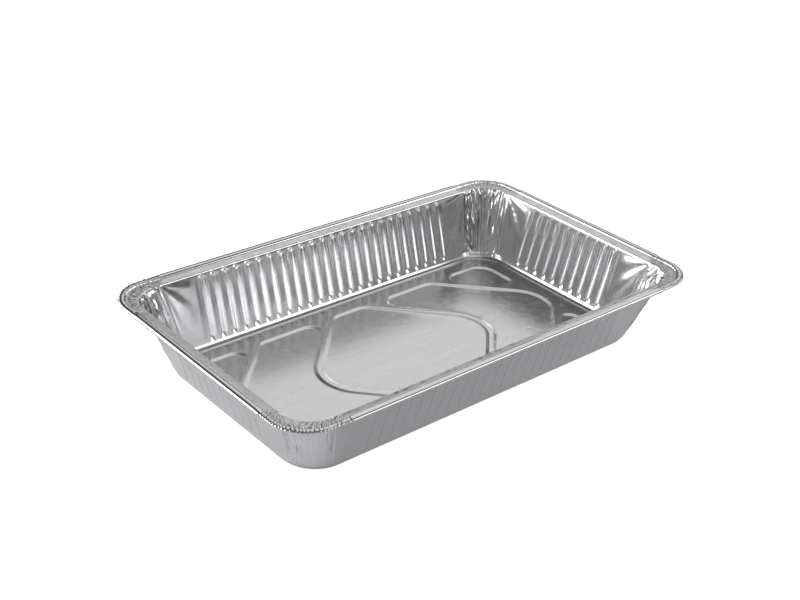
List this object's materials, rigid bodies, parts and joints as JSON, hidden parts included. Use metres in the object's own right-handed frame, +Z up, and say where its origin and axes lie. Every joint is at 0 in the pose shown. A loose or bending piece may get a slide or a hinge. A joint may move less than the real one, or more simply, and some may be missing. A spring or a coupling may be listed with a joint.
{
  "type": "foil tray",
  "caption": "Full-size rectangular aluminium foil steam-table tray with fluted tapering walls, ribbed base and a rolled rim bead.",
  "frame": {"origin": "centre of the tray on the plane its base panels stand on", "axes": "+X along the long sides, +Y along the short sides, +Z up through the open mouth"},
  "size_m": [0.527, 0.325, 0.082],
  "materials": {
    "foil": "bright rolled foil, faint rolling grain"
  },
  "bodies": {
    "root": {"tray": "foil"}
  },
  "joints": []
}
